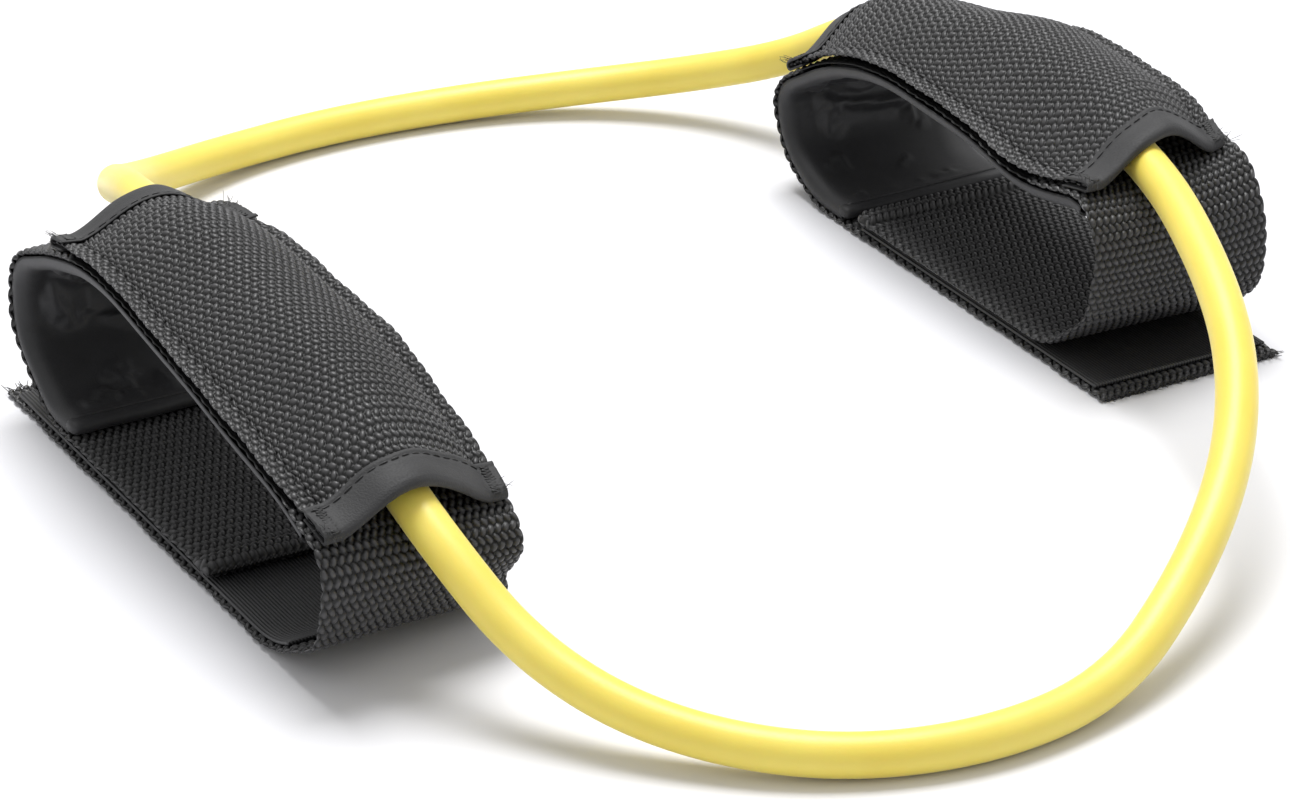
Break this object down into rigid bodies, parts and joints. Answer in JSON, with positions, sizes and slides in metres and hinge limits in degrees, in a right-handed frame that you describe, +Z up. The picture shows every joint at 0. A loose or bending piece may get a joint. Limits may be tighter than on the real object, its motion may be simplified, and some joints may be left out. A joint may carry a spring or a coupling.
{
  "type": "resistance band",
  "caption": "Stretch band for leg exercises: padded webbing ankle cuffs with hook-and-loop tails, on one closed loop of rubber tube that runs through a sleeve on each cuff.",
  "frame": {"origin": "centre of the two cuffs' footprint, on the floor", "axes": "+X from the left cuff to the right one, across the webbing; +Y along the cuffs to the back; +Z up"},
  "size_m": [0.2696, 0.3551, 0.063],
  "materials": {
    "charcoal_webbing": "woven polyester webbing with a soft sheen",
    "charcoal_tape": "smooth folded binding tape",
    "charcoal_thread": "sewing thread",
    "black_hook_tape": "fine ribs of nylon hooks",
    "black_loop_tape": "brushed nylon loops",
    "black_lining": "smooth coated knit",
    "grey_foam": "soft closed-cell foam",
    "yellow_rubber": "matte natural latex, slightly translucent",
    "joiner_plastic": "moulded nylon"
  },
  "bodies": {
    "left_cuff": {"left_strap": "charcoal_webbing", "left_loop_tape": "black_loop_tape", "left_foam_pad": "grey_foam", "left_lining": "black_lining", "left_lining_hem": "black_lining", "left_channel_cover": "charcoal_webbing", "left_high_binding": "charcoal_tape", "left_low_binding": "charcoal_tape", "left_seam_stitching": "charcoal_thread", "left_bar_tacks": "charcoal_thread", "tube": "yellow_rubber", "tube_joiner": "joiner_plastic"},
    "left_flap": {"left_closure_tail": "charcoal_webbing", "left_hook_tape": "black_hook_tape"},
    "right_cuff": {"right_strap": "charcoal_webbing", "right_loop_tape": "black_loop_tape", "right_foam_pad": "grey_foam", "right_lining": "black_lining", "right_lining_hem": "black_lining", "right_channel_cover": "charcoal_webbing", "right_high_binding": "charcoal_tape", "right_low_binding": "charcoal_tape", "right_seam_stitching": "charcoal_thread", "right_bar_tacks": "charcoal_thread"},
    "right_flap": {"right_closure_tail": "charcoal_webbing", "right_hook_tape": "black_hook_tape"}
  },
  "joints": [
    {"name": "band_stretch", "type": "slide", "parent": "left_cuff", "child": "right_cuff", "axis": [1, 0, 0], "range_m": [0, 0.25], "stiffness_N_per_m": 60, "deforming": ["tube"]},
    {"name": "left_flap_hinge", "type": "hinge", "parent": "left_cuff", "child": "left_flap", "pos_m": [-0.1094, -0.07808, 0.00554], "axis": [-1, 0, 0], "range_deg": [0, 110]},
    {"name": "right_flap_hinge", "type": "hinge", "parent": "right_cuff", "child": "right_flap", "pos_m": [0.1094, 0.04954, 0.0009], "axis": [1, 0, 0], "range_deg": [0, 110]}
  ]
}
